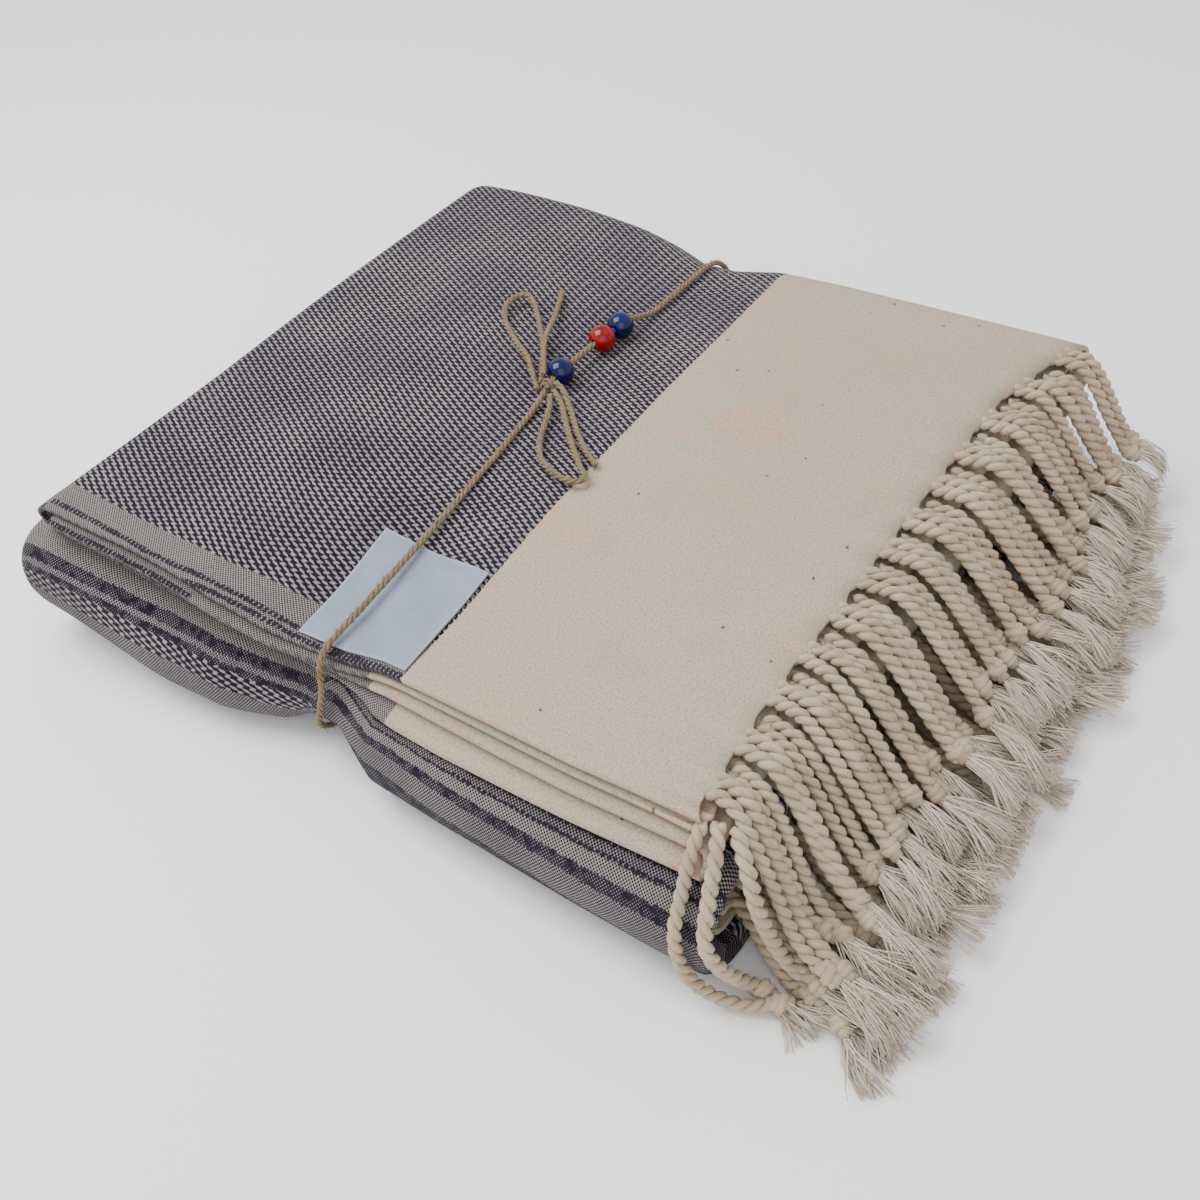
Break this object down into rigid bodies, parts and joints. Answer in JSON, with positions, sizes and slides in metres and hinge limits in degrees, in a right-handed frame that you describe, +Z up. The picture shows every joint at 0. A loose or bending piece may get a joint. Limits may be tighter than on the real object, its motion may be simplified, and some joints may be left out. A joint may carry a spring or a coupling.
{
  "type": "folded hammam towel",
  "caption": "Woven cotton bath towel folded flat in layers, with a knotted cord fringe, a blank sewn label, and a thin twine tie with round beads and a small bow.",
  "frame": {"origin": "centre of the footprint of everything but the twine's free ends, at the level of the surface that the towel rests on", "axes": "+X along the folded length, towards the fringe; +Y towards the side with the upper rounded fold; +Z up, through the layers"},
  "size_m": [0.4754, 0.3964, 0.0889],
  "materials": {
    "woven_cloth": "matte woven cotton",
    "label_satin": "satin ribbon",
    "cotton_cord": "twisted cotton",
    "jute_twine": "rough twine",
    "bead_blue": "glossy",
    "bead_red": "glossy"
  },
  "bodies": {
    "root": {"towel_cloth": "woven_cloth", "sewn_label": "label_satin", "fringe_top_end": "cotton_cord", "fringe_under_end": "cotton_cord", "tie_wrap": "jute_twine", "tie_knot": "jute_twine", "bow_loop_left": "jute_twine", "bow_loop_right": "jute_twine", "tie_end_left": "jute_twine", "tie_end_right": "jute_twine", "tie_bead_1": "bead_blue", "tie_bead_2": "bead_red", "tie_bead_3": "bead_blue"}
  },
  "joints": []
}
